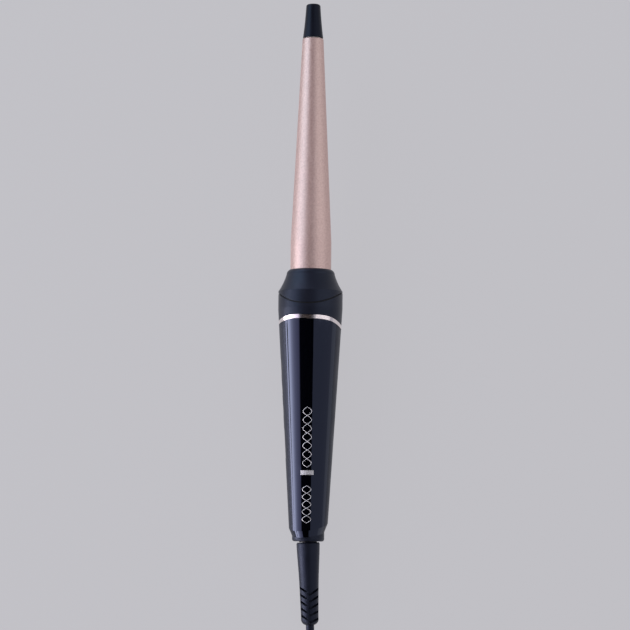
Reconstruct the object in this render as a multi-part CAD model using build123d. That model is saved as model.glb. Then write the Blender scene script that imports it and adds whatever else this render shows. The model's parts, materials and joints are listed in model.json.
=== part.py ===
from build123d import *

import os
from math import atan, cos, degrees, pi, radians, sin, sqrt, tan

# Conical curling wand with a turning cord joint, millimetres.
# Wand frame: Y is the wand's axis, from the end of the handle (station 0) to the cool tip.
# Z points out of the glossy front and X to its right. The finished wand is then laid on a table.

# Barrel and tip
TIP_END = 331.3
TIP_BASE = 310.3
TIP_BASE_R = 6.25
TIP_END_R = 4.42
BARREL_END = 309.7
BARREL_END_R = 6.5
BARREL_R = 12.5
BARREL_CONE_START = 183.0
BARREL_BASE = 157.0
BARREL_WALL = 1.6

# Collar
COLLAR_R = 19.7
COLLAR_SHOULDER = 152.4
COLLAR_RIM = 165.8
COLLAR_RIM_R = 12.95
COLLAR_BORE_R = 12.65
COLLAR_SKIN_R = 17.65

# Seam of the collar: the middle of its gap as (x, station), seen from the front
SEAM_EDGE = [(-21.5, 154.5), (-17.9, 149.3), (-13.0, 146.1), (-3.3, 144.15), (4.0, 144.5),
             (13.7, 147.8), (19.6, 151.9), (21.5, 154.0)]
SEAM_GAP = 0.8

# Trim ring: its upper edge as (x, station), seen from the front
TRIM_EDGE = [(-21.5, 130.0), (-18.3, 134.9), (-14.0, 136.6), (-2.0, 136.9), (8.0, 136.6),
             (13.5, 135.4), (17.2, 133.3), (21.5, 127.5)]
TRIM_WIDTH = 2.35
TRIM_PROUD = 0.12

# Handle
TAPER = 0.0596
HANDLE_R0 = 11.26
HANDLE_TOP = 141.6
HANDLE_WALL = 2.2
FRONT_LEFT = -52.0
FRONT_RIGHT = 57.0
FRONT_GAP = 0.35
END_STATION = 4.95
END_LEAN = 0.27
END_SKEW = 0.136
END_ROUND = 1.65
END_ROUND_LENGTH = 4.6
CAP_R = 9.8
FLAT_DEPTH = 0.35

# Fastening inside: stations of the barrel's and the shells' screws, (x, station) of the board's
HOLDER_SCREWS = 164.0
SCREW_STATIONS = (30.0, 112.5)
BOARD_POSTS = ((6.0, 38.5), (6.0, 103.5))

# Controls on the left side: station, cap radius, travel
POWER = (106.2, 4.9, 0.7)
PLUS = (91.9, 3.4, 0.6)
MINUS = (79.6, 3.4, 0.6)
BUTTON_GAP = 0.3
BUTTON_SINK = 0.08
SYMBOL_DEPTH = 0.25
INDICATOR = (59.5, 18.0, 5.6)
KEY_DEPTH = 6.1
SWITCH_DEPTH = 5.8
BOARD_DEPTH = 7.4

# Cord joint
NECK_R = 5.4
RUNNING_GAP = 0.05
NECK_END = -0.6
SHAFT_R = 4.4
RING_R = 5.3
HOUSING_BORE_R = 6.4
HOUSING_TOP = 24.5
SPRING_R = 5.9
SPRING_END = 25.4

# Boot, cord and plug
CORD_D = 5.0
BOOT_LENGTH = 49.8
BOOT_LEAN = 1.9
SLIT_COUNT = 5
SLIT_PITCH = 4.1
SLIT_WIDTH = 1.25
SLIT_REACH = 9.0
SLIT_ANGLE = 33.0
WEB_THICK = 1.4
PLUG_WIDTH = 35.3
PLUG_THICK = 13.7
PLUG_LENGTH = 36.0
PIN_SPACING = 18.6
PIN_LENGTH = 19.0

# Hank of the stored cord: two columns and four layers of turns, narrow at the tie
TURN_PITCH = 5.8
LAYER_PITCH = 5.1
LAYERS = 4
FOLD_R = 15.0
WAIST_R = 4.2
FOLD_CENTRE = 29.2
TIE_WIDTH = 9.0
TIE_THICK = 1.0

# Cord route from the boot's end, as (x, y from the boot's end, z) on the table
LEAD_ROUTE = [(4.8, -32.0, 3.1), (14.7, -45.5, 2.5)]
LEAD_STRAIGHT = 15.0
HANK_NEAR = -60.2
TAIL_ROUTE = [(20.8, -118.6, 17.8), (20.0, -135.0, 16.6), (13.5, -151.0, 9.6),
              (6.5, -166.0, 6.85), (5.5, -180.0, 6.85)]

LEAN = degrees(atan(TAPER))
FAR = 60.0


# ---------------------------------------------------------------- helpers

def surface_r(station):
    """Radius of the handle's taper at a station."""
    return HANDLE_R0 + TAPER * station


def barrel_r(station):
    """Outer radius of the barrel at a station."""
    slope = (BARREL_R - BARREL_END_R) / (BARREL_END - BARREL_CONE_START)
    return BARREL_R - slope * max(0.0, station - BARREL_CONE_START)


def turned(points):
    """Body of revolution about the axis from a closed outline of (radius, station)."""
    return revolve(make_face(Polyline(*points, close=True)), Axis.Y)


def ring(outer, inner, low, high):
    return turned([(inner, low), (outer, low), (outer, high), (inner, high)])


def rod(radius, low, high):
    return turned([(0, low), (radius, low), (radius, high), (0, high)])


def skin(outer, inner, low, high):
    """Ring of the handle's taper between two depths under its surface."""
    return turned([(surface_r(low) - inner, low), (surface_r(low) - outer, low),
                   (surface_r(high) - outer, high), (surface_r(high) - inner, high)])


def block(size_x, size_y, size_z, x, y, z):
    return Pos(x, y, z) * Box(size_x, size_y, size_z)


def pin_z(radius, x, station, low, high):
    """Cylinder along Z between two heights."""
    return Pos(x, station, (low + high) / 2) * Cylinder(radius, high - low)


def pin_y(radius, x, z, low, high):
    """Cylinder along Y between two stations."""
    return Pos(x, (low + high) / 2, z) * Rot(90, 0, 0) * Cylinder(radius, high - low)


def wire(radius, *points):
    """Round wire through corner points, its corners rounded."""
    bend = 2.5 * radius
    path = FilletPolyline(*points, radius=bend)
    start = Plane(origin=path @ 0, z_dir=path % 0)
    return sweep(start * Circle(radius), path=path)


def three_round(shape):
    """The shape three times round the axis."""
    return Compound(children=[Rot(0, 120 * turn, 0) * shape for turn in range(3)])


def slanted(station, lean, skew):
    """Plane across the wand, lower at the front by lean and higher at the right by skew."""
    return Plane(origin=(0, station, 0), z_dir=(-skew, 1, lean))


def side(station):
    """Plane on the left side of the handle, its normal pointing out of the surface."""
    lean = atan(TAPER)
    return Plane(origin=(-surface_r(station), station, 0), x_dir=(-sin(lean), cos(lean), 0),
                 z_dir=(-cos(lean), -sin(lean), 0))


def side_pin(station, radius, top, bottom):
    """Cylinder through the handle's left side between two depths under the surface."""
    return side(station) * Pos(0, 0, -(top + bottom) / 2) * Cylinder(radius, bottom - top)


def below(curve, shift):
    """Everything on the handle's side of a curve seen from the front, moved by shift."""
    edge = Spline(*[(x, station + shift) for x, station in curve])
    frame = Polyline(edge @ 1, ((edge @ 1).X, -30), ((edge @ 0).X, -30), edge @ 0)
    return extrude(make_face(edge + frame), FAR, both=True)


def sector(start, stop):
    """Wedge about the axis between two angles from the front, positive to the right."""
    corners = [(0, 0)]
    for angle in (start, stop):
        corners.append((FAR * sin(radians(angle)), FAR * cos(radians(angle))))
    return extrude(Plane.XZ * make_face(Polyline(*corners, close=True)), 400, both=True)


def above_table():
    """Space over the narrow flat that the wand rests on, in the wand frame."""
    rest = Plane(origin=(0, 0, -surface_r(0) + FLAT_DEPTH), x_dir=(1, 0, 0),
                 z_dir=(0, sin(radians(LEAN)), cos(radians(LEAN))))
    return rest * Pos(0, 0, 50) * Box(200, 900, 100)


# ---------------------------------------------------------------- barrel and tip

def cool_tip():
    flare = ThreePointArc((TIP_BASE_R, TIP_BASE), (5.17, 320.2), (TIP_END_R, 330.0))
    crown = ThreePointArc((TIP_END_R, 330.0), (4.02, TIP_END - 0.38), (3.1, TIP_END))
    inside = Polyline((3.1, TIP_END), (2.5, TIP_END), (2.5, 324), (1.3, 324), (1.3, 316),
                      (4.0, 316), (4.6, TIP_BASE), (TIP_BASE_R, TIP_BASE))
    return revolve(make_face(flare + crown + inside), Axis.Y)


def tip_plug():
    return rod(2.45, 329.9, 331.1)


def tip_screw():
    return rod(2.3, 324.05, 325.6) + rod(1.2, 304.5, 324.1) - block(3.4, 1.6, 0.6, 0, 325.2, 0)


def tip_insulator():
    body = turned([(0, 300.5), (barrel_r(300.5) - BARREL_WALL - 0.1, 300.5),
                   (barrel_r(309.7) - BARREL_WALL - 0.1, 309.75), (5.0, 309.75), (5.0, 310.25),
                   (4.5, 310.25), (3.9, 315.9), (0, 315.9)])
    return body - rod(1.2, 304.4, 316)


def barrel():
    inner_end = BARREL_END_R - BARREL_WALL
    inner = BARREL_R - BARREL_WALL
    tube = turned([(inner, BARREL_BASE), (BARREL_R, BARREL_BASE), (BARREL_R, BARREL_CONE_START),
                   (BARREL_END_R, BARREL_END - 0.4), (BARREL_END_R - 0.4, BARREL_END),
                   (inner_end, BARREL_END), (inner, BARREL_CONE_START)])
    return tube - three_round(pin_z(1.15, 0, HOLDER_SCREWS, 9, 14))


def heat_spreader(front):
    """Half-round shell that presses the heater's warmth into the barrel."""
    gap = BARREL_WALL + 0.15
    low = 178.0
    high = 290.0
    hollow_end = 262.0
    outer = [(0, low), (BARREL_R - gap, low), (BARREL_R - gap, BARREL_CONE_START),
             (barrel_r(high) - gap, high), (0, high)]
    hollow = [(0, low - 1), (BARREL_R - gap - 2, low - 1), (BARREL_R - gap - 2, BARREL_CONE_START),
              (barrel_r(hollow_end) - gap - 1.2, hollow_end), (0, hollow_end)]
    floor = 2.05 if front else 3.5
    keep = block(60, 400, 60, 0, 230, 30 + floor)
    hole = block(60, 400, 60, 0, 230, 30 + floor + 1.6)
    shell = (turned(outer) & keep) - (turned(hollow) & hole)
    return shell if front else Rot(0, 180, 0) * shell


def ptc_heater():
    return block(9, 90, 4, 0, 229, 0)


def clamp_spring():
    """Bowed leaf spring between the heater and the rear spreader."""
    arc = Plane.YZ * (ThreePointArc((195, -3.45), (229, -2.45), (263, -3.45))
                      + Line((263, -3.45), (263, -3.05))
                      + ThreePointArc((263, -3.05), (229, -2.05), (195, -3.05))
                      + Line((195, -3.05), (195, -3.45)))
    return extrude(make_face(arc), 3.5, both=True)


def thermistor():
    return pin_y(1.1, 4.0, 5.0, 180, 188)


def thermal_fuse():
    return pin_y(1.9, -4.2, 0, 160.5, 172.5)


def barrel_holder():
    body = turned([(7.2, 150.2), (16.2, 150.2), (16.2, 153.6), (13.9, 155.6), (13.9, 158.4),
                   (12.55, 158.4), (12.55, 156.6), (10.85, 156.6), (10.85, 172.0), (7.2, 172.0)])
    return body - three_round(pin_z(1.1, 0, HOLDER_SCREWS, 6, 20))


def barrel_screws():
    return three_round(pin_z(1.1, 0, HOLDER_SCREWS, 7.6, 12.4))


def heat_shield():
    return ring(16.0, 7.2, 149.4, 150.15)


# ---------------------------------------------------------------- collar

def collar_cone():
    low = 139.0
    side_arc = ThreePointArc((COLLAR_R, COLLAR_SHOULDER), (16.55, 158.2), (14.8, 162.9))
    crown = ThreePointArc((14.8, 162.9), (14.2, 164.75), (COLLAR_RIM_R, COLLAR_RIM))
    rest = Polyline((COLLAR_RIM_R, COLLAR_RIM), (COLLAR_BORE_R, COLLAR_RIM),
                    (COLLAR_BORE_R, 161.5), (17.5, 152.0), (17.5, low), (COLLAR_R, low),
                    (COLLAR_R, COLLAR_SHOULDER))
    shroud = revolve(make_face(side_arc + crown + rest), Axis.Y)
    shroud -= below(SEAM_EDGE, SEAM_GAP / 2)
    return (shroud + ring(COLLAR_SKIN_R - 0.05, 16.3, low, 153.5)) & above_table()


def collar_gasket():
    """Dark ring sunk in the arched seam."""
    body = ring(COLLAR_R - 0.55, COLLAR_SKIN_R, 140, 158)
    return (body & below(SEAM_EDGE, SEAM_GAP / 2)) - below(SEAM_EDGE, -SEAM_GAP / 2)


def collar_band():
    outer = turned([(COLLAR_SKIN_R, 118), (surface_r(118), 118), (COLLAR_R, HANDLE_TOP),
                    (COLLAR_R, 158), (COLLAR_SKIN_R, 158)])
    outer = (outer & below(SEAM_EDGE, -SEAM_GAP / 2)) - below(TRIM_EDGE, 0.05)
    spigot = skin(HANDLE_WALL + 0.1, 3.8, 119, 138.9)
    bridge = ring(COLLAR_SKIN_R + 0.1, 16.4, 137.3, 138.9)
    return (outer + spigot + bridge) & above_table()


def trim_ring():
    body = skin(-TRIM_PROUD, HANDLE_WALL, 112, HANDLE_TOP)
    body = (body & below(TRIM_EDGE, 0)) - below(TRIM_EDGE, -TRIM_WIDTH)
    return body & above_table()


# ---------------------------------------------------------------- handle

def handle_form():
    """Outer form of the two shells: the taper cut by a slanted plane, its rim rounded in."""
    body = turned([(0, -8), (surface_r(-8), -8), (COLLAR_R, HANDLE_TOP), (0, HANDLE_TOP)])
    end = slanted(END_STATION, END_LEAN, END_SKEW)
    body = split(body, bisect_by=end, keep=Keep.TOP)
    rim = [edge for edge in body.edges() if abs(end.to_local_coords(edge.center()).Z) < 0.01]
    face = [f for f in body.faces() if abs(end.to_local_coords(f.center()).Z) < 0.01][0]
    body = chamfer(rim, END_ROUND, END_ROUND_LENGTH, reference=face)
    return body


def handle_shell():
    """Hollow form of both shells together, open at both ends."""
    hollow = turned([(0, -8), (surface_r(-8) - HANDLE_WALL, -8),
                     (COLLAR_R - HANDLE_WALL + 0.5, HANDLE_TOP + 8.4), (0, HANDLE_TOP + 8.4)])
    bore = rod(CAP_R + 0.08, -8, 12)
    return ((handle_form() & below(TRIM_EDGE, -TRIM_WIDTH - 0.05)) - hollow) - bore


def front_cover():
    body = handle_shell() & sector(FRONT_LEFT + FRONT_GAP, FRONT_RIGHT - FRONT_GAP)
    for station in SCREW_STATIONS:
        body += pin_z(3.0, 0, station, -3.0, surface_r(station) - HANDLE_WALL + 0.5)
        body -= pin_z(1.1, 0, station, -3.1, 6)
    return body - accent_seat()


def accent_seat():
    """Shallow recess for the small metal bar on the front."""
    return block(8.0, 2.8, 4, -1.0, 41.4, surface_r(41.4)) - turned(
        [(0, 30), (surface_r(30) - 0.4, 30), (surface_r(50) - 0.4, 50), (0, 50)])


def accent_bar():
    bar = block(7.9, 2.7, 4, -1.0, 41.4, surface_r(41.4))
    return bar & skin(-0.08, 0.4, 30, 50)


def rear_shell():
    body = handle_shell() - sector(FRONT_LEFT, FRONT_RIGHT)
    for station in SCREW_STATIONS:
        floor = -surface_r(station) + 1.0
        body += pin_z(4.2, 0, station, floor, -3.1)
    for x, station in BOARD_POSTS:
        inner = surface_r(station) - HANDLE_WALL + 0.4
        body += pin_z(1.9, x, station, -sqrt(inner ** 2 - x ** 2), -3.6)
    for station in SCREW_STATIONS:
        body -= pin_z(1.5, 0, station, -FAR, 0)
        body -= pin_z(2.9, 0, station, -FAR, -surface_r(station) + 4.0)
    for x, station in BOARD_POSTS:
        body -= pin_z(0.8, x, station, -8.5, 0)
    for station, radius, _ in (POWER, PLUS, MINUS):
        body -= side_pin(station, radius + BUTTON_GAP, -3, 5)
    station, length, width = INDICATOR
    body -= side(station) * Box(length, width, 12)
    return body & above_table()


def shell_screws():
    screws = []
    for station in SCREW_STATIONS:
        seat = -surface_r(station) + 4.0
        head = pin_z(2.7, 0, station, seat - 1.6, seat)
        slot = block(3.6, 0.7, 0.8, 0, station, seat - 1.4)
        screws.append(head + pin_z(1.1, 0, station, seat - 0.1, 5.0) - slot)
    return Compound(children=screws)


def end_cap():
    return turned([(NECK_R + RUNNING_GAP, 0), (CAP_R - 1.3, 0), (CAP_R - 0.38, 0.38),
                   (CAP_R, 1.3), (CAP_R, 12.0), (7.9, 12.0), (7.9, 3.0),
                   (NECK_R + RUNNING_GAP, 3.0)])


# ---------------------------------------------------------------- controls

def button(spec, symbol):
    """Button cap with its retaining flange and stem, its symbol sunk in the top."""
    station, radius, _ = spec
    form = turned([(0, 60), (surface_r(60) - BUTTON_SINK, 60),
                   (surface_r(120) - BUTTON_SINK, 120), (0, 120)])
    cap = side_pin(station, radius, -2, 3.6) & form
    flange = side_pin(station, radius + 0.9, 3.5, 4.3)
    stem = side_pin(station, 1.5, 4.2, 5.0)
    return cap + flange + stem - (side(station) * symbol - shrunk_form())


def shrunk_form():
    depth = BUTTON_SINK + SYMBOL_DEPTH
    return turned([(0, 60), (surface_r(60) - depth, 60), (surface_r(120) - depth, 120), (0, 120)])


def power_symbol():
    """Open ring with a bar in its gap."""
    loop = Cylinder(2.4, 4) - Cylinder(1.9, 4) - Pos(2.2, 0, 0) * Box(2.4, 1.7, 4)
    return loop + Pos(1.9, 0, 0) * Box(2.2, 0.5, 4)


def bar_symbol():
    return Box(0.6, 3.4, 4)


def plus_symbol():
    return Box(0.6, 3.4, 4) + Box(3.4, 0.6, 4)


def plunger(spec):
    """Moving key of the tact switch under a button."""
    return side_pin(spec[0], 1.6, 5.0, KEY_DEPTH)


def tact_switches():
    switches = []
    for station, _, travel in (POWER, PLUS, MINUS):
        body = side(station) * Pos(0, 0, -(SWITCH_DEPTH + BOARD_DEPTH) / 2) * Box(6, 6, 1.6)
        switches.append(body - side_pin(station, 1.75, 5, KEY_DEPTH + travel + 0.3))
    return Compound(children=switches)


def button_board():
    middle = (INDICATOR[0] + POWER[0]) / 2 + 1.0
    return side(middle) * Pos(0, 0, -BOARD_DEPTH - 0.5) * Box(62, 11, 0.98)


def indicator_lens():
    station, length, width = INDICATOR
    window = side(station) * Box(length - 0.2, width - 0.2, 12)
    return window & skin(0.05, 1.7, 45, 75)


def indicator_leds():
    leds = []
    for step in range(5):
        station = INDICATOR[0] + 3.4 * (step - 2)
        leds.append(side(station) * Pos(0, 0, -6.7) * Box(1.6, 2.0, 1.38))
    return Compound(children=leds)


# ---------------------------------------------------------------- electronics

def main_board():
    board = block(15, 72, 1.58, 2.5, 71, -2.8)
    for x, station in BOARD_POSTS:
        board -= pin_z(1.15, x, station, -5, 0)
    return board


def board_screws():
    screws = []
    for x, station in BOARD_POSTS:
        screws.append(pin_z(1.9, x, station, -2.0, -0.9) + pin_z(0.8, x, station, -7.5, -1.9))
    return Compound(children=screws)


def film_capacitor():
    return fillet(block(6, 14, 8.5, 4.5, 51.9, 2.26).edges().filter_by(Axis.Z), 0.8)


def electrolytic_capacitor():
    body = pin_y(4.0, 4.5, 2.05, 60, 72)
    return body - (ring(5, 3.7, 61.5, 62.2).moved(Location((4.5, 0, 2.05))))


def triac():
    body = block(10, 9.5, 4.4, 4.0, 94, 0.2)
    tab = block(10, 6.5, 1.3, 4.0, 86.5, -1.35) - pin_z(1.6, 4.0, 86.5, -3, 0)
    return body + tab


def microcontroller():
    return block(7, 7, 1.2, 1.0, 78.5, -1.4)


def board_fuse():
    glass = pin_y(1.9, -2.2, 0.1, 46, 62)
    return glass + pin_y(2.1, -2.2, 0.1, 46, 49) + pin_y(2.1, -2.2, 0.1, 59, 62)


def heater_leads():
    """From the board, past the screw boss, to the heater's two ends."""
    leads = []
    for outer, inner in ((-4.2, -1.2), (9.1, 2.6)):
        leads.append(wire(0.8, (outer, 100.0, -1.1), (outer, 106.0, -1.1),
                          (outer * 1.1, 121.0, 2.0), (inner, 146.0, 0.0), (inner, 183.9, 0.0)))
    return Compound(children=leads)


def sensor_leads():
    """From the board, over the heater leads, to the thermistor."""
    leads = []
    for outer, inner in ((-3.4, 3.2), (-2.4, 4.8)):
        leads.append(wire(0.4, (outer, 83.5, -1.5), (outer, 96.0, -1.5), (outer - 1.6, 106.0, 5.0),
                          (outer - 1.6, 118.0, 5.0), (inner, 136.0, 4.6), (inner, 179.8, 4.6)))
    return Compound(children=leads)


def mains_leads():
    """From the contact springs, over the board's screw, to the board."""
    leads = []
    for hand, end in ((-1, -3.6), (1, 7.2)):
        leads.append(wire(0.9, (hand * SPRING_R, SPRING_END + 0.3, 0.0), (hand * 6.4, 31.5, 1.4),
                          (end, 40.0, 1.4), (end, 44.0, -1.05)))
    return Compound(children=leads)


# ---------------------------------------------------------------- cord joint

def swivel_spindle():
    body = turned([(0, -9.0), (3.4, -9.0), (3.4, NECK_END), (NECK_R, NECK_END), (NECK_R, 3.3),
                   (7.3, 3.3), (7.3, 5.2), (SHAFT_R, 5.2), (SHAFT_R, 23.6), (0, 23.6)])
    groove = ring(SHAFT_R + 1, SHAFT_R - 0.8, 21.2, 22.2)
    return body - rod(2.4, -10, 24) - groove


def slip_rings():
    low = ring(RING_R, SHAFT_R, 8.5, 12.0)
    high = ring(RING_R, SHAFT_R, 15.0, 18.5)
    return Compound(children=[low, high])


def retaining_clip():
    return ring(5.7, SHAFT_R - 0.8, 21.25, 22.15) - block(4.0, 4, 9, 0, 21.7, 5)


def contact_housing():
    return turned([(HOUSING_BORE_R, 6.0), (7.75, 6.0), (7.75, 12.2), (9.4, 12.2), (9.4, 14.0),
                   (7.75, 14.0), (7.75, HOUSING_TOP), (HOUSING_BORE_R, HOUSING_TOP)])


def contact_springs():
    """Leaf contacts on both sides that rub on the slip rings, their tails led out of the housing."""
    springs = []
    for hand, station in ((-1, 10.25), (1, 16.75)):
        leaf = block(0.4, 2.2, 4.6, hand * (RING_R + RUNNING_GAP + 0.2), station, 0)
        tail = block(0.3, SPRING_END - station, 2.4, hand * SPRING_R, (SPRING_END + station) / 2, 0)
        springs.append(leaf + tail)
    return Compound(children=springs)


def cord_boot():
    """Tapered strain relief; blind slits slant in from both sides and leave a web behind them."""
    flare = Spline((7.08, -0.9), (6.62, -10.6), (6.15, -18.6), (5.75, -29.0), (5.32, -44.0))
    neck = Line((5.32, -44.0), (5.32, -46.9))
    nose = ThreePointArc((5.32, -46.9), (4.6, -48.5), (2.8, -BOOT_LENGTH))
    head = Polyline((2.8, -BOOT_LENGTH), (0, -BOOT_LENGTH), (0, 0), (6.68, 0), (7.08, -0.9))
    body = revolve(make_face(flare + neck + nose + head), Axis.Y)
    web = rod(3.2, -60, 10) + Box(20, 120, WEB_THICK)
    for hand, x, station, fan in ((-1, -1.5, -29.9, 0.0), (1, -0.1, -31.85, 2.6)):
        for step in range(SLIT_COUNT):
            slab = Pos(hand * SLIT_REACH / 2, 0, 0) * Box(SLIT_REACH, SLIT_WIDTH, 20)
            slab = Rot(0, 0, hand * (SLIT_ANGLE - fan * step)) * slab
            body -= Pos(x, station - SLIT_PITCH * step, 0) * slab - web
    return Pos(0, NECK_END, 0) * Rot(0, 0, BOOT_LEAN) * body


# ---------------------------------------------------------------- cord and plug, on the table

def cord_tube(points):
    """Round cord along straight runs joined by arcs as large as the runs allow."""
    corners = [Vector(*point) for point in points]
    radii = []
    for before, corner, after in zip(corners, corners[1:], corners[2:]):
        turn = radians((corner - before).get_angle(after - corner))
        run = min((corner - before).length, (after - corner).length)
        radii.append(0.45 * run / tan(turn / 2))
    path = FilletPolyline(*corners, radius=radii)
    tube = sweep(Plane(origin=path @ 0, z_dir=path % 0) * Circle(CORD_D / 2), path=path)
    section = pi * CORD_D ** 2 / 4
    print("cord radii", [round(radius, 1) for radius in radii], "length", round(path.length, 1),
          "volume ratio", round(tube.volume / (section * path.length), 4))
    return tube


def hank_middle(exit_point):
    return exit_point.Y + HANK_NEAR - FOLD_CENTRE


def cord_hank(exit_point):
    """Closed outer form of the folded cord, with a seat for the tie."""
    half = CORD_D / 2 + 0.1
    end_r = FOLD_R + TURN_PITCH + half
    waist = WAIST_R + TURN_PITCH + half
    reach = FOLD_CENTRE
    right = Spline((end_r, reach), (waist, 0), (end_r, -reach), tangents=[(0, -1), (0, -1)])
    left = Spline((-end_r, -reach), (-waist, 0), (-end_r, reach), tangents=[(0, 1), (0, 1)])
    near = ThreePointArc((-end_r, reach), (0, reach + end_r), (end_r, reach))
    far = ThreePointArc((end_r, -reach), (0, -reach - end_r), (-end_r, -reach))
    body = extrude(make_face(right + far + left + near), LAYERS * LAYER_PITCH)
    seat = Box(FAR, TIE_WIDTH + 0.1, FAR) - tie_form(0)
    return Pos(0, hank_middle(exit_point), 0) * (body - seat)


def tie_form(grow):
    """Rounded block through the hank's waist, grown outward by the strap's thickness."""
    width = 2 * (WAIST_R + TURN_PITCH + CORD_D / 2 - 0.4 + grow)
    height = LAYERS * LAYER_PITCH - TIE_THICK - 0.2 + 2 * grow
    form = RectangleRounded(width, height, 5 + grow)
    centre = TIE_THICK + (LAYERS * LAYER_PITCH - TIE_THICK - 0.2) / 2
    return Pos(0, 0, centre) * extrude(Plane.XZ * form, FAR, both=True)


def hank_tie(exit_point):
    strap = (tie_form(TIE_THICK) - tie_form(0)) & Box(FAR, TIE_WIDTH, 2 * FAR)
    return Pos(0, hank_middle(exit_point), 0) * strap


def plug_body(entry):
    """Flat two-pin plug with a short tapered relief where the cord goes in."""
    half = PLUG_WIDTH / 2
    outline = Polyline((-5.5, -10), (5.5, -10), (9.5, -16), (half, -27), (half, -10 - PLUG_LENGTH),
                       (-half, -10 - PLUG_LENGTH), (-half, -27), (-9.5, -16), close=True)
    body = extrude(make_face(outline), PLUG_THICK)
    body = fillet(body.edges().filter_by(Axis.Z), 3.0)
    body = fillet(body.faces().sort_by(Axis.Z)[-1].edges(), 1.2)
    relief = revolve(make_face(Polyline((0, 0), (3.4, 0), (4.6, -10.5), (0, -10.5), close=True)),
                     Axis.Y)
    return Pos(entry.X, entry.Y, 0) * (body + Pos(0, 0, PLUG_THICK / 2) * relief)


def plug_pins(entry):
    pins = []
    low = -10 - PLUG_LENGTH
    for hand in (-1, 1):
        pin = pin_y(2.0, hand * PIN_SPACING / 2, PLUG_THICK / 2, low - PIN_LENGTH, low)
        pins.append(chamfer(pin.edges().sort_by(Axis.Y)[0], 0.8))
    return Pos(entry.X, entry.Y, 0) * Compound(children=pins)


# ---------------------------------------------------------------- assembly

WAND_PARTS = {
    "cool_tip": cool_tip(),
    "tip_plug": tip_plug(),
    "tip_screw": tip_screw(),
    "tip_insulator": tip_insulator(),
    "barrel": barrel(),
    "heat_spreader_front": heat_spreader(True),
    "heat_spreader_rear": heat_spreader(False),
    "ptc_heater": ptc_heater(),
    "clamp_spring": clamp_spring(),
    "thermistor": thermistor(),
    "thermal_fuse": thermal_fuse(),
    "barrel_holder": barrel_holder(),
    "barrel_screws": barrel_screws(),
    "heat_shield": heat_shield(),
    "collar_cone": collar_cone(),
    "collar_gasket": collar_gasket(),
    "collar_band": collar_band(),
    "trim_ring": trim_ring(),
    "front_cover": front_cover(),
    "rear_shell": rear_shell(),
    "shell_screws": shell_screws(),
    "accent_bar": accent_bar(),
    "end_cap": end_cap(),
    "power_button": button(POWER, power_symbol()),
    "plus_button": button(PLUS, plus_symbol()),
    "minus_button": button(MINUS, bar_symbol()),
    "power_plunger": plunger(POWER),
    "plus_plunger": plunger(PLUS),
    "minus_plunger": plunger(MINUS),
    "tact_switches": tact_switches(),
    "button_board": button_board(),
    "indicator_lens": indicator_lens(),
    "indicator_leds": indicator_leds(),
    "main_board": main_board(),
    "board_screws": board_screws(),
    "film_capacitor": film_capacitor(),
    "electrolytic_capacitor": electrolytic_capacitor(),
    "triac": triac(),
    "microcontroller": microcontroller(),
    "board_fuse": board_fuse(),
    "heater_leads": heater_leads(),
    "sensor_leads": sensor_leads(),
    "mains_leads": mains_leads(),
    "swivel_spindle": swivel_spindle(),
    "slip_rings": slip_rings(),
    "retaining_clip": retaining_clip(),
    "contact_housing": contact_housing(),
    "contact_springs": contact_springs(),
    "cord_boot": cord_boot(),
}

# Laid on its underside, the taper's lowest line lies flat on the table and the tip points up.
TILT = Rot(LEAN, 0, 0)
RISE = (surface_r(0) - FLAT_DEPTH) * cos(radians(LEAN))
tilted_box = Compound(children=[TILT * shape for shape in WAND_PARTS.values()]).bounding_box()
PLACE = Location((0, -tilted_box.center().Y, RISE)) * TILT

boot_pose = PLACE * Location((0, NECK_END, 0)) * Rot(0, 0, BOOT_LEAN)
EXIT = (boot_pose * Location((0, -BOOT_LENGTH, 0))).position
STRAIGHT_END = (boot_pose * Location((0, -BOOT_LENGTH - LEAD_STRAIGHT, 0))).position


def on_table(route):
    return [(x, EXIT.Y + y, z) for x, y, z in route]


lead_points = [tuple(EXIT), tuple(STRAIGHT_END)] + on_table(LEAD_ROUTE)
tail_points = on_table(TAIL_ROUTE)
PLUG_ENTRY = Vector(*tail_points[-1])

CORD_PARTS = {
    "cord_lead": cord_tube(lead_points),
    "cord_hank": cord_hank(EXIT),
    "hank_tie": hank_tie(EXIT),
    "cord_tail": cord_tube(tail_points),
    "plug_body": plug_body(PLUG_ENTRY),
    "plug_pins": plug_pins(PLUG_ENTRY),
}

if __name__ == "__main__":
    os.makedirs("parts", exist_ok=True)
    for name, shape in WAND_PARTS.items():
        export_step(PLACE * shape, f"parts/{name}.step")
    for name, shape in CORD_PARTS.items():
        export_step(shape, f"parts/{name}.step")
    print("exit", EXIT, "straight end", STRAIGHT_END, "place", PLACE)
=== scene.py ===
import json
from math import cos, pi, radians, sin, sqrt

import bpy
from mathutils import Matrix, Vector


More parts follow.
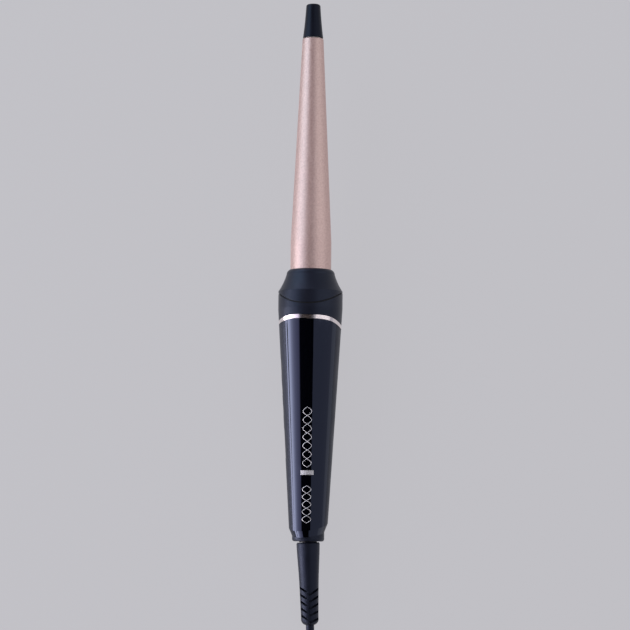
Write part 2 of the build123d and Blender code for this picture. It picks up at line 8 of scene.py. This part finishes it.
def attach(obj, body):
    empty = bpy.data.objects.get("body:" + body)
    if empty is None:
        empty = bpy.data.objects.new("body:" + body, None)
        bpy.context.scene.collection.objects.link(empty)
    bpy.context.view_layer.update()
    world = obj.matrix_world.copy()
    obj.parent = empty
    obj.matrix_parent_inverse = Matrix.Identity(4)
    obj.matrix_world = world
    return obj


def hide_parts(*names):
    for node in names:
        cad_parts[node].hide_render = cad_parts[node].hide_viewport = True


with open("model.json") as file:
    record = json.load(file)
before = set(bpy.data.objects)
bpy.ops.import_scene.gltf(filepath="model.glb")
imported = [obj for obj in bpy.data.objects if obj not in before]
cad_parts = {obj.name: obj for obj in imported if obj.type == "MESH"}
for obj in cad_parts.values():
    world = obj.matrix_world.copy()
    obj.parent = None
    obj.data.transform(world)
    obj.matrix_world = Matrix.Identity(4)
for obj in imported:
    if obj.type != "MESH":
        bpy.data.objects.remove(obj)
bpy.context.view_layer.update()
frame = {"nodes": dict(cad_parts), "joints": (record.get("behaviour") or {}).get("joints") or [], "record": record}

# Looks of the curling wand. Metres throughout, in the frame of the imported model.
# The wand frame is the one that its swivel turns in: Y from the handle's end to the tip,
# Z out of the glossy front, X to its right.

NODES = frame["nodes"]
SCENE = bpy.context.scene
SWIVEL = next(joint for joint in frame["joints"] if joint["name"] == "cord_swivel")


def wand_frame():
    """Matrix from the wand frame to the model's frame."""
    along = Vector(SWIVEL["axis"]).normalized()
    right = Vector((1, 0, 0))
    out = right.cross(along)
    turn = Matrix((right, along, out)).transposed().to_4x4()
    return Matrix.Translation(SWIVEL["pos_m"]) @ turn


WAND = wand_frame()


def link(thing):
    """Puts an object into the scene and hands it back."""
    SCENE.collection.objects.link(thing)
    return thing


# ---------------------------------------------------------------- camera

CAMERA_HEIGHT = 1.538
CAMERA_TILT = radians(5.136)
CAMERA_ROLL = radians(0.564)
CAMERA_ASIDE = 0.00287
SENSOR_MM = 36.0
LENS_MM = 144.0
CLIP_NEAR, CLIP_FAR = 0.05, 20.0


def make_camera():
    """Looks down on the wand from over the handle's end, the tip at the top of the picture."""
    data = bpy.data.cameras.new("camera")
    data.sensor_width = SENSOR_MM
    data.lens = LENS_MM
    data.clip_start = CLIP_NEAR
    data.clip_end = CLIP_FAR
    camera = link(bpy.data.objects.new("camera", data))
    stand = Matrix.Translation((CAMERA_ASIDE, 0, CAMERA_HEIGHT))
    tilt = Matrix.Rotation(CAMERA_TILT, 4, "X")
    roll = Matrix.Rotation(CAMERA_ROLL, 4, "Z")
    camera.matrix_world = WAND @ stand @ tilt @ roll
    SCENE.camera = camera


make_camera()

# ---------------------------------------------------------------- node materials

# Tint of the reflections on the black finishes
COOL_SHEEN = (0.59, 0.69, 1.0, 1.0)
# Mouldings: rounding of their edges, how far the wear reaches from an edge, size of colour clouds
EDGE_RADIUS = 0.0002
WEAR_REACH = 0.00025
CLOUD_SIZE = 0.012


def add(tree, kind, inputs=None, **settings):
    """New node. An input is given by name or number, as a value or as another node's output."""
    made = tree.nodes.new(kind)
    for key, value in settings.items():
        setattr(made, key, value)
    for key, value in (inputs or {}).items():
        if isinstance(value, bpy.types.NodeSocket):
            tree.links.new(value, made.inputs[key])
        else:
            made.inputs[key].default_value = value
    return made


class Finish:
    """A node material built up in layers over coordinates that stay with the piece."""

    def __init__(self, name, **sockets):
        self.name = name
        self.material = bpy.data.materials.new(name)
        self.material.use_nodes = True
        self.tree = self.material.node_tree
        self.shader = self.tree.nodes["Principled BSDF"]
        self.place = self.add("ShaderNodeTexCoord").outputs["Object"]
        self.normal = None
        for key, value in sockets.items():
            self.shader.inputs[key.replace("_", " ")].default_value = value

    def add(self, kind, inputs=None, **settings):
        return add(self.tree, kind, inputs, **settings)

    def stretched(self, scale):
        return self.add("ShaderNodeMapping", {"Vector": self.place, "Scale": scale}).outputs[0]

    def noise(self, size, detail=3.0, scale=(1, 1, 1)):
        """Noise from 0 to 1 whose features are about size metres wide."""
        return self.add("ShaderNodeTexNoise", {"Vector": self.stretched(scale), "Scale": 1 / size,
                                               "Detail": detail, "Roughness": 0.5}).outputs[0]

    def cells(self, size):
        """Cells about size metres wide, as a node with their distances and colours."""
        return self.add("ShaderNodeTexVoronoi", {"Vector": self.stretched((1, 1, 1)),
                                                 "Scale": 1 / size})

    def spread(self, value, low, high, start=0.0, stop=1.0):
        """The value from start..stop brought to low..high."""
        ends = {"Value": value, 1: start, 2: stop, 3: low, 4: high}
        return self.add("ShaderNodeMapRange", ends).outputs[0]

    def math(self, operation, first, second):
        return self.add("ShaderNodeMath", {0: first, 1: second}, operation=operation).outputs[0]

    def mixed(self, amount, first, second):
        """Colour between first and second."""
        colours = [value if isinstance(value, bpy.types.NodeSocket) else (*value, 1.0)
                   for value in (first, second)]
        return self.add("ShaderNodeMix", {0: amount, 6: colours[0], 7: colours[1]},
                        data_type="RGBA").outputs[2]

    def feed(self, socket, value):
        self.tree.links.new(value, self.shader.inputs[socket])

    def bump(self, height, depth, strength=1.0):
        """Relief of the given depth in metres over what is there already."""
        inputs = {"Height": height, "Distance": depth, "Strength": strength}
        if self.normal is not None:
            inputs["Normal"] = self.normal
        self.normal = self.add("ShaderNodeBump", inputs).outputs[0]
        self.feed("Normal", self.normal)

    def rounded(self, radius):
        """Normals of the surface as if its edges had the radius."""
        return self.add("ShaderNodeBevel", {"Radius": radius}, samples=4).outputs[0]

    def soft_edges(self, radius):
        """Edges that catch the light as if they were rounded."""
        self.normal = self.rounded(radius)
        self.feed("Normal", self.normal)

    def edge_wear(self, radius):
        """1 where the surface turns sharply within the radius, 0 on plain faces."""
        rounded = self.rounded(radius)
        flat = self.add("ShaderNodeNewGeometry").outputs["Normal"]
        turn = self.add("ShaderNodeVectorMath", {0: rounded, 1: flat}, operation="DOT_PRODUCT")
        return self.spread(turn.outputs["Value"], 1.0, 0.0, 0.6, 0.98)


def moulded(name, colour, roughness, grain, depth, vary=0.25, **sockets):
    """Moulded plastic or rubber: grain, cloudy colour, patchy sheen, edges rubbed lighter."""
    finish = Finish(name, **sockets)
    finish.soft_edges(EDGE_RADIUS)
    cloud = finish.noise(CLOUD_SIZE, 4)
    dust = finish.noise(grain, 2)
    tone = finish.math("ADD", finish.math("MULTIPLY", cloud, 0.6),
                       finish.math("MULTIPLY", dust, 0.4))
    dark = [c * (1 - vary) for c in colour]
    light = [c * (1 + vary) for c in colour]
    rubbed = [c * 1.6 + 0.004 for c in colour]
    wear = finish.math("MULTIPLY", finish.edge_wear(WEAR_REACH),
                       finish.spread(cloud, 0, 1, 0.4, 0.6))
    plain = finish.mixed(finish.spread(tone, 0, 1, 0.3, 0.7), dark, light)
    finish.feed("Base Color", finish.mixed(wear, plain, rubbed))
    finish.feed("Roughness", finish.spread(cloud, roughness - 0.05, roughness + 0.05, 0.3, 0.7))
    finish.bump(dust, depth)
    return finish


def gloss_front():
    """Piano-black cover: slight waviness, hairline scratches and specks of dust."""
    finish = Finish("gloss_front", IOR=1.75, Specular_Tint=COOL_SHEEN)
    wave = finish.noise(0.006, 1)
    dust = finish.cells(0.0011).outputs["Distance"]
    speck = finish.spread(dust, 1, 0, 0.03, 0.07)
    hair = finish.noise(0.00035, 1, scale=(1, 0.03, 1))
    worn = finish.spread(hair, 0, 1, 0.66, 0.78)
    finish.feed("Base Color", finish.mixed(speck, (0.0010, 0.0011, 0.0024), (0.018, 0.019, 0.024)))
    finish.feed("Roughness", finish.spread(worn, 0.04, 0.13))
    finish.bump(wave, 0.000004)
    return finish


def rose_coat():
    """Satin rose coat with a fine shimmer."""
    finish = Finish("rose_coat", Metallic=1.0, IOR=1.5)
    flakes = finish.cells(0.0006)
    glint = finish.add("ShaderNodeSeparateColor", {0: flakes.outputs["Color"]}).outputs[0]
    mottle = finish.spread(finish.noise(0.0011, 2), 0, 1, 0.3, 0.7)
    tone = finish.math("ADD", finish.math("MULTIPLY", mottle, 0.6),
                       finish.math("MULTIPLY", glint, 0.4))
    finish.feed("Base Color", finish.mixed(tone, (0.65, 0.45, 0.41), (0.83, 0.625, 0.575)))
    finish.feed("Roughness", finish.spread(glint, 0.42, 0.54))
    finish.bump(glint, 0.00001, 0.6)
    finish.bump(mottle, 0.00003, 0.6)
    return finish


def rose_chrome():
    """Polished plating with a rose tint, its polishing lines running along it."""
    finish = Finish("rose_chrome", Metallic=1.0)
    lines = finish.noise(0.0005, 2, scale=(0.2, 3, 0.2))
    finish.feed("Base Color", finish.mixed(lines, (0.90, 0.81, 0.80), (0.96, 0.89, 0.88)))
    finish.feed("Roughness", finish.spread(lines, 0.16, 0.23))
    finish.bump(lines, 0.000003)
    return finish


def metal(name, colour, roughness, stretch=(1, 1, 1), size=0.0006):
    """Bare or plated metal with fine tool marks and darker stains."""
    finish = Finish(name, Metallic=1.0)
    marks = finish.noise(size, 3, scale=stretch)
    stain = finish.noise(0.004, 4)
    dark = [c * 0.72 for c in colour]
    finish.feed("Base Color", finish.mixed(finish.spread(stain, 0, 1, 0.35, 0.75), colour, dark))
    finish.feed("Roughness", finish.spread(marks, roughness - 0.08, roughness + 0.1, 0.3, 0.7))
    finish.bump(marks, 0.00001)
    return finish


def circuit_board():
    """Solder mask with tracks that show lighter under it."""
    finish = Finish("circuit_board", Roughness=0.3, Coat_Weight=0.4)
    brick = finish.add("ShaderNodeTexBrick", {"Vector": finish.place, "Scale": 260.0,
                                              "Mortar Size": 0.09, "Color1": (0.0, 0.0, 0.0, 1),
                                              "Color2": (0.1, 0.1, 0.1, 1), "Mortar": (1, 1, 1, 1)})
    track = brick.outputs["Fac"]
    finish.feed("Base Color", finish.mixed(track, (0.012, 0.10, 0.045), (0.03, 0.2, 0.08)))
    finish.bump(track, 0.00003)
    return finish


def woven(name, dark, light, thread):
    """Woven sleeve or strap: crossing threads with loose fibres."""
    finish = Finish(name, Roughness=0.85)
    ribs = {"Vector": finish.place, "Scale": 0.32 / thread, "Distortion": 0.6, "Detail Scale": 3.0}
    over, under = (finish.add("ShaderNodeTexWave", ribs, bands_direction=axis).outputs["Fac"]
                   for axis in "XY")
    fibre = finish.noise(thread / 3, 3)
    weave = finish.math("MAXIMUM", over, under)
    tone = finish.math("MULTIPLY", weave, finish.spread(fibre, 0.7, 1.0))
    finish.feed("Base Color", finish.mixed(tone, dark, light))
    finish.bump(weave, thread * 0.35)
    finish.bump(fibre, thread * 0.15)
    return finish


# One finish for each material slot, under the slot's name
FINISHES = {finish.name: finish for finish in (
    moulded("heat_resistant_plastic", (0.004, 0.0045, 0.008), 0.36, 0.0003, 0.00001,
            Specular_IOR_Level=0.3, Specular_Tint=COOL_SHEEN),
    metal("steel", (0.62, 0.62, 0.64), 0.32),
    moulded("ceramic", (0.80, 0.79, 0.76), 0.6, 0.0004, 0.00002, vary=0.05),
    rose_coat(),
    metal("aluminium", (0.75, 0.75, 0.77), 0.38, stretch=(1, 0.05, 1)),
    moulded("glass_bead", (0.6, 0.66, 0.62), 0.12, 0.0006, 0.000004, vary=0.06,
            Transmission_Weight=0.5),
    moulded("high_heat_plastic", (0.045, 0.035, 0.028), 0.6, 0.0003, 0.00003),
    moulded("mica", (0.6, 0.54, 0.4), 0.42, 0.0012, 0.00002, vary=0.15),
    moulded("matte_shell", (0.0045, 0.005, 0.009), 0.4, 0.00022, 0.000012,
            Specular_Tint=COOL_SHEEN),
    moulded("dark_rubber", (0.006, 0.006, 0.008), 0.7, 0.0003, 0.00002),
    rose_chrome(),
    gloss_front(),
    moulded("button_plastic", (0.012, 0.0125, 0.017), 0.38, 0.00025, 0.000012),
    moulded("switch_key", (0.7, 0.69, 0.64), 0.45, 0.0004, 0.00001, vary=0.06),
    moulded("switch_body", (0.04, 0.04, 0.04), 0.5, 0.0003, 0.00002),
    circuit_board(),
    moulded("smoked_lens", (0.006, 0.005, 0.007), 0.08, 0.002, 0.000003, vary=0.3),
    moulded("led_body", (0.82, 0.82, 0.78), 0.2, 0.0005, 0.000006, vary=0.05),
    moulded("capacitor_case", (0.62, 0.4, 0.04), 0.3, 0.0006, 0.00001, vary=0.1),
    moulded("capacitor_sleeve", (0.02, 0.03, 0.08), 0.3, 0.0006, 0.00001),
    moulded("chip_plastic", (0.018, 0.018, 0.018), 0.5, 0.0002, 0.00003),
    woven("lead_sleeve", (0.4, 0.38, 0.34), (0.78, 0.76, 0.7), 0.0005),
    moulded("sensor_insulation", (0.7, 0.7, 0.66), 0.5, 0.0004, 0.00001, vary=0.06),
    moulded("mains_insulation", (0.10, 0.15, 0.36), 0.45, 0.0005, 0.00001),
    moulded("spindle_plastic", (0.006, 0.006, 0.009), 0.42, 0.0003, 0.00001),
    metal("brass", (0.78, 0.58, 0.26), 0.25, stretch=(0.2, 3, 0.2)),
    moulded("cord_rubber", (0.0055, 0.006, 0.010), 0.45, 0.0004, 0.00003,
            Specular_Tint=COOL_SHEEN),
    woven("tie_strap", (0.008, 0.008, 0.010), (0.035, 0.035, 0.042), 0.0007),
    moulded("plug_plastic", (0.007, 0.0075, 0.011), 0.45, 0.00045, 0.00003,
            Specular_Tint=COOL_SHEEN),
    metal("pin_metal", (0.72, 0.70, 0.64), 0.22, stretch=(1, 0.1, 1)),
)}

# The bar and the twists on the front are brushed and catch light from all round
BRUSHED = metal("brushed_silver", (0.97, 0.95, 0.94), 0.58, stretch=(0.1, 2, 1))

for part in frame["record"]["subparts"]:
    shape = NODES[part["node"]]
    shape.data.materials.clear()
    finish = BRUSHED if part["node"] == "accent_bar" else FINISHES[part["material_slot"]]
    shape.data.materials.append(finish.material)

# ---------------------------------------------------------------- cord

CORD_D = 0.005
# The route's points, as in the CAD model
LEAD = [(0.00165113, -0.190496, 0.00789378), (0.00214846, -0.205461, 0.00700186),
        (0.0048, -0.222496, 0.0031), (0.0147, -0.235996, 0.0025)]
TAIL = [(0.0208, -0.309096, 0.0178), (0.0200, -0.325496, 0.0166), (0.0135, -0.341496, 0.0096),
        (0.0065, -0.356496, 0.00685), (0.0055, -0.370496, 0.00685)]
FOLD_R = 0.015
WAIST_R = 0.0042
TURN_PITCH = 0.0058
LAYER_PITCH = 0.0051
FOLD_CENTRE = 0.0292
# (column, layer) of each turn, from the first one that lies on the table to the last on top
TURNS = [(1, 0), (0, 0), (0, 1), (1, 1), (1, 2), (0, 2), (0, 3), (1, 3)]
SIDE_STEPS = 5
LOOP_STEPS = 8
# Parts of a turn over which it moves to the next turn's column and layer
COLUMN_SHIFT = (3.08, 3.72)
LAYER_SHIFT = (2.59, 3.28)
# The strap pinches the turns up to the first distance from the middle and lets go by the second
PINCH = (0.006, 0.016)
TIED_HEIGHT = 0.0035
TIED_PITCH = 0.0048
# Step from the lead's last point into the first turn
LEAD_IN = (0.0039, -0.0058)


def eased(value, start, stop):
    """0 before start, 1 after stop, and a smooth rise between them."""
    share = min(1.0, max(0.0, (value - start) / (stop - start)))
    return share * share * (3 - 2 * share)


def hank_point(middle, turn, part):
    """Point of the hank. The whole part of a turn's part is its side: right, far fold, left, near
    fold; the rest is how far along that side the point is."""
    column, layer = TURNS[turn]
    if turn + 1 < len(TURNS):
        next_column, next_layer = TURNS[turn + 1]
        column += (next_column - column) * eased(part, *COLUMN_SHIFT)
        layer += (next_layer - layer) * eased(part, *LAYER_SHIFT)
    spread = TURN_PITCH * column
    radius = (FOLD_R + spread) / cos(pi / 2 / LOOP_STEPS)
    side = int(part)
    if side in (0, 2):
        along = FOLD_CENTRE * (1 - 2 * (part - side)) * (1 if side == 0 else -1)
        wide = (1 - cos(pi * along / FOLD_CENTRE)) / 2
        x = (WAIST_R + spread) * (1 - wide) + (FOLD_R + spread) * wide
        x *= 1 if side == 0 else -1
        y = middle + along
    else:
        hand = 1 if side == 3 else -1
        angle = pi * (1 - (part - side)) if side == 3 else -pi * (part - side)
        x = radius * cos(angle)
        y = middle + hand * FOLD_CENTRE + radius * sin(angle)
    waist = 1 - eased(abs(y - middle), *PINCH)
    open_z = CORD_D / 2 + LAYER_PITCH * layer
    tied_z = TIED_HEIGHT + TIED_PITCH * layer
    return (x, y, open_z + (tied_z - open_z) * waist)


def hank_points():
    """The turns between the lead's last point and the tail's first one."""
    middle = TAIL[0][1] + FOLD_CENTRE
    points = []
    for turn in range(len(TURNS)):
        for side, steps in enumerate((SIDE_STEPS, LOOP_STEPS, SIDE_STEPS, LOOP_STEPS)):
            for step in range(steps):
                points.append((turn, side + step / steps))
    points = [spot for spot in points if spot[0] < len(TURNS) - 1 or spot[1] < 1]
    x, y, z = LEAD[-1]
    lead_in = [(x + LEAD_IN[0], y + LEAD_IN[1], z)]
    return lead_in + [hank_point(middle, turn, part) for turn, part in points]


def smooth_curve(name, points, radius):
    """Round cord along a NURBS spline that has the points as its control points."""
    data = bpy.data.curves.new(name, "CURVE")
    data.dimensions = "3D"
    data.bevel_depth = radius
    data.bevel_resolution = 6
    data.resolution_u = 6
    data.use_fill_caps = True
    spline = data.splines.new("NURBS")
    spline.points.add(len(points) - 1)
    for spot, place in zip(spline.points, points):
        spot.co = (*place, 1.0)
    spline.order_u = 3
    spline.use_endpoint_u = True
    return link(bpy.data.objects.new(name, data))


flex = smooth_curve("flex", LEAD + hank_points() + TAIL, CORD_D / 2)
flex.data.materials.append(FINISHES["cord_rubber"].material)
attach(flex, "cord_set")
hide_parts("cord_lead", "cord_hank", "cord_tail")

# ---------------------------------------------------------------- silver twists on the front

# The front cover's radius at the handle's end and its growth along the wand, as in the CAD model
HANDLE_R0 = 0.01126
TAPER = 0.0596
STRAND_R = 0.0002
STRAND_SUNK = 0.7 * STRAND_R
STEPS_PER_WAVE = 12
TWIST_CENTRE = -0.0011
TWIST_HALF_WIDTH = 0.0026


def strand_points(low, high, waves, hand):
    """One of two wavy lines that cross each other, on the front cover's surface."""
    steps = STEPS_PER_WAVE * waves
    points = []
    for step in range(steps + 1):
        share = step / steps
        x = TWIST_CENTRE + hand * TWIST_HALF_WIDTH * sin(pi * waves * share)
        station = low + (high - low) * share
        surface = HANDLE_R0 + TAPER * station
        points.append(WAND @ Vector((x, station, sqrt(surface ** 2 - x ** 2) - STRAND_SUNK)))
    return points


for row, low, high, waves in (("long", 0.0446, 0.0810, 7), ("short", 0.0110, 0.0335, 5)):
    for side, hand in (("left", -1), ("right", 1)):
        points = strand_points(low, high, waves, hand)
        strand = smooth_curve(f"front_twist_{row}_{side}", points, STRAND_R)
        strand.data.materials.append(BRUSHED.material)
        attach(strand, "wand")

# ---------------------------------------------------------------- studio

# Distances of the light cards and of the flags in front of them from the wand's axis
CARD_FAR = 0.9
FLAG_FAR = 0.8
# Stations along the wand at which the near cards and the rear cards end
NEAR_END = 0.2
REAR_END = 1.3
FLOOR_REACH = 6.0
FLOOR_DROP = 0.00005


def sheet_material(name, colour, strength, grey):
    """Even glow over a dull surface."""
    material = bpy.data.materials.new(name)
    material.use_nodes = True
    shader = material.node_tree.nodes["Principled BSDF"]
    shader.inputs["Base Color"].default_value = (grey, grey, grey, 1)
    shader.inputs["Roughness"].default_value = 1.0
    shader.inputs["Specular IOR Level"].default_value = 0.0
    shader.inputs["Emission Color"].default_value = (*colour, 1)
    shader.inputs["Emission Strength"].default_value = strength
    return material


def stage_card(name, mesh, diffuse=True):
    """Card that the camera doesn't see. With diffuse it lights matte surfaces too."""
    card = link(bpy.data.objects.new(name, mesh))
    card.visible_camera = False
    card.visible_shadow = False
    card.visible_diffuse = diffuse


def panel(name, corner, across, up, colour, strength, diffuse=True):
    """Flat card in the wand frame."""
    corner, across, up = Vector(corner), Vector(across), Vector(up)
    mesh = bpy.data.meshes.new(name)
    spots = [corner, corner + across, corner + across + up, corner + up]
    mesh.from_pydata([WAND @ spot for spot in spots], [], [(0, 1, 2, 3)])
    mesh.materials.append(sheet_material(name, colour, strength, 0.0))
    stage_card(name, mesh, diffuse)


def polar(angle, distance):
    """Point across the wand at an angle from straight up, positive to the right."""
    return Vector((distance * sin(radians(angle)), 0, distance * cos(radians(angle))))


def strip(name, start, stop, distance, low, high, colour, strength, diffuse=True):
    """Card between two angles round the wand and two stations along it."""
    first, last = polar(start, distance), polar(stop, distance)
    corner = first + Vector((0, low, 0))
    panel(name, corner, last - first, (0, high - low, 0), colour, strength, diffuse)


def graded_strip(name, stops, distance, low, high):
    """Card bent round the wand, its glow running over the stops, each an angle and a colour."""
    mesh = bpy.data.meshes.new(name)
    spots = []
    for angle, _ in stops:
        across = polar(angle, distance)
        spots += [WAND @ (across + Vector((0, low, 0))), WAND @ (across + Vector((0, high, 0)))]
    faces = [(2 * step, 2 * step + 1, 2 * step + 3, 2 * step + 2) for step in range(len(stops) - 1)]
    mesh.from_pydata(spots, [], faces)
    glow = mesh.color_attributes.new(name="glow", type="FLOAT_COLOR", domain="POINT")
    for number in range(len(spots)):
        glow.data[number].color = (*stops[number // 2][1], 1.0)
    material = sheet_material(name, (1, 1, 1), 1.0, 0.0)
    colour = add(material.node_tree, "ShaderNodeVertexColor", layer_name="glow").outputs["Color"]
    shader = material.node_tree.nodes["Principled BSDF"]
    material.node_tree.links.new(colour, shader.inputs["Emission Color"])
    mesh.materials.append(material)
    stage_card(name, mesh)


graded_strip("left_light", [(-39.0, (0.10, 0.09, 0.12)), (-44.0, (0.80, 0.73, 0.98)),
                            (-52.0, (1.0, 0.93, 1.18)), (-63.0, (1.5, 1.4, 1.7)),
                            (-68.0, (2.0, 1.9, 2.2)), (-75.0, (2.9, 2.75, 3.1)),
                            (-81.0, (4.5, 4.3, 4.7)), (-87.0, (5.1, 4.9, 5.3)),
                            (-96.0, (4.4, 4.3, 4.7))], CARD_FAR, -1.8, NEAR_END)
strip("left_rear_light", -39, -96, CARD_FAR, NEAR_END, REAR_END, (0.83, 1.15, 1.30), 0.84)
strip("right_near_card", 20, 88, CARD_FAR, 0.22, 0.5, (1.0, 1.04, 1.08), 1.0)
strip("right_far_card", 20, 88, CARD_FAR, 0.5, REAR_END, (1.0, 1.0, 1.06), 0.5)
panel("rear_card", (-1.9, 1.3, 0.05), (1.3, 0, 0), (0, 0, 0.9), (1.0, 1.04, 1.25), 4.0)
panel("low_left_card", (-0.075, -0.06, -0.0105), (0, 0.2, 0), (0, 0, 0.0165),
      (4.6, 4.4, 4.9), 1.0, diffuse=False)
# Narrow card that the trim ring mirrors: its near edge follows the ring's lower one
RING_CARD = polar(20, CARD_FAR), polar(74, CARD_FAR)
panel("ring_card", RING_CARD[0] + Vector((0, 0.112, 0)),
      RING_CARD[1] - RING_CARD[0] + Vector((0, 0.016, 0)), (0, 0.05, 0),
      (1.0, 0.97, 1.0), 1.7, diffuse=False)
for name, start, stop, low, high, glow in (("overhead_flag", -39, 12.6, -1.9, NEAR_END, 0.0),
                                           ("near_flag", -38, 3.0, NEAR_END, 0.47, 0.44),
                                           ("rear_flag", -38, 3.0, 0.47, 1.4, 0.15)):
    strip(name, start, stop, FLAG_FAR, low, high, (1.0, 0.78, 0.73), glow, diffuse=False)

world = bpy.data.worlds.new("studio")
world.use_nodes = True
world.node_tree.nodes["Background"].inputs["Color"].default_value = (0.345, 0.345, 0.40, 1)
SCENE.world = world

floor_mesh = bpy.data.meshes.new("floor")
floor_mesh.from_pydata([(-FLOOR_REACH, -FLOOR_REACH, 0), (FLOOR_REACH, -FLOOR_REACH, 0),
                        (FLOOR_REACH, FLOOR_REACH, 0), (-FLOOR_REACH, FLOOR_REACH, 0)],
                       [], [(0, 1, 2, 3)])
floor_mesh.materials.append(sheet_material("floor", (0.545, 0.538, 0.568), 0.92, 0.055))
floor = link(bpy.data.objects.new("floor", floor_mesh))
floor.location.z = -FLOOR_DROP

SCENE.view_settings.view_transform = "Standard"

# ---------------------------------------------------------------- end

bpy.context.view_layer.update()
